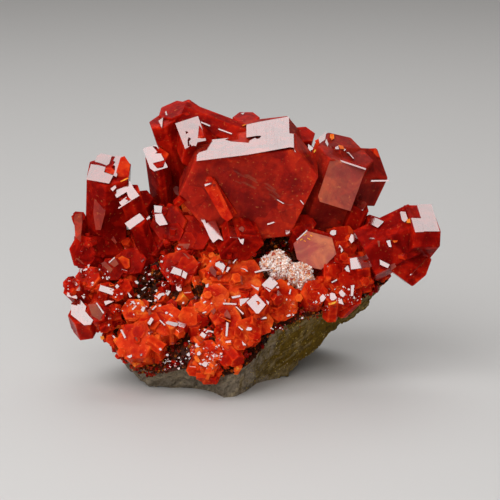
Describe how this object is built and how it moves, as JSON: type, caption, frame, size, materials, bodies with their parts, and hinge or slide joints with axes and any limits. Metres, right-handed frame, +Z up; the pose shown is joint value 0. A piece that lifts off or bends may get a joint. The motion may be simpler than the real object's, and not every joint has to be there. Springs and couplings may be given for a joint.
{
  "type": "vanadinite crystal cluster",
  "caption": "Loose mineral specimen: a wedge of matrix rock whose sloping face is covered with red six-sided vanadinite crystals around one giant tabular crystal.",
  "frame": {"origin": "middle of the flat underside that the rock rests on", "axes": "+Z up, -Y towards the crystal-covered slope, +X to the right as that slope is faced, along the specimen's longest side"},
  "size_m": [0.0669, 0.0389, 0.0488],
  "materials": {
    "matrix_rock": "rough broken rock, pale grey to olive brown",
    "druse": "dark brown sparkling crust of fine crystals",
    "pale_crust": "crumbly cream to pink crust",
    "deep_red_crystal": "glassy deep red translucent crystal",
    "orange_red_crystal": "glassy orange-red translucent crystal"
  },
  "bodies": {
    "root": {"matrix_rock": "matrix_rock", "druse_crust": "druse", "pale_crust_patch": "pale_crust", "main_crystal_group": "deep_red_crystal", "hexagon_crystal": "deep_red_crystal", "upper_right_crystal_group": "deep_red_crystal", "far_right_crystal_group": "deep_red_crystal", "left_crystal_group": "deep_red_crystal", "centre_left_crystals": "orange_red_crystal", "front_crystal_group": "orange_red_crystal", "bottom_crystal_group": "orange_red_crystal", "lower_middle_crystal_group": "orange_red_crystal", "lower_left_crystal_group": "orange_red_crystal", "right_edge_crystal_group": "orange_red_crystal"}
  },
  "joints": []
}
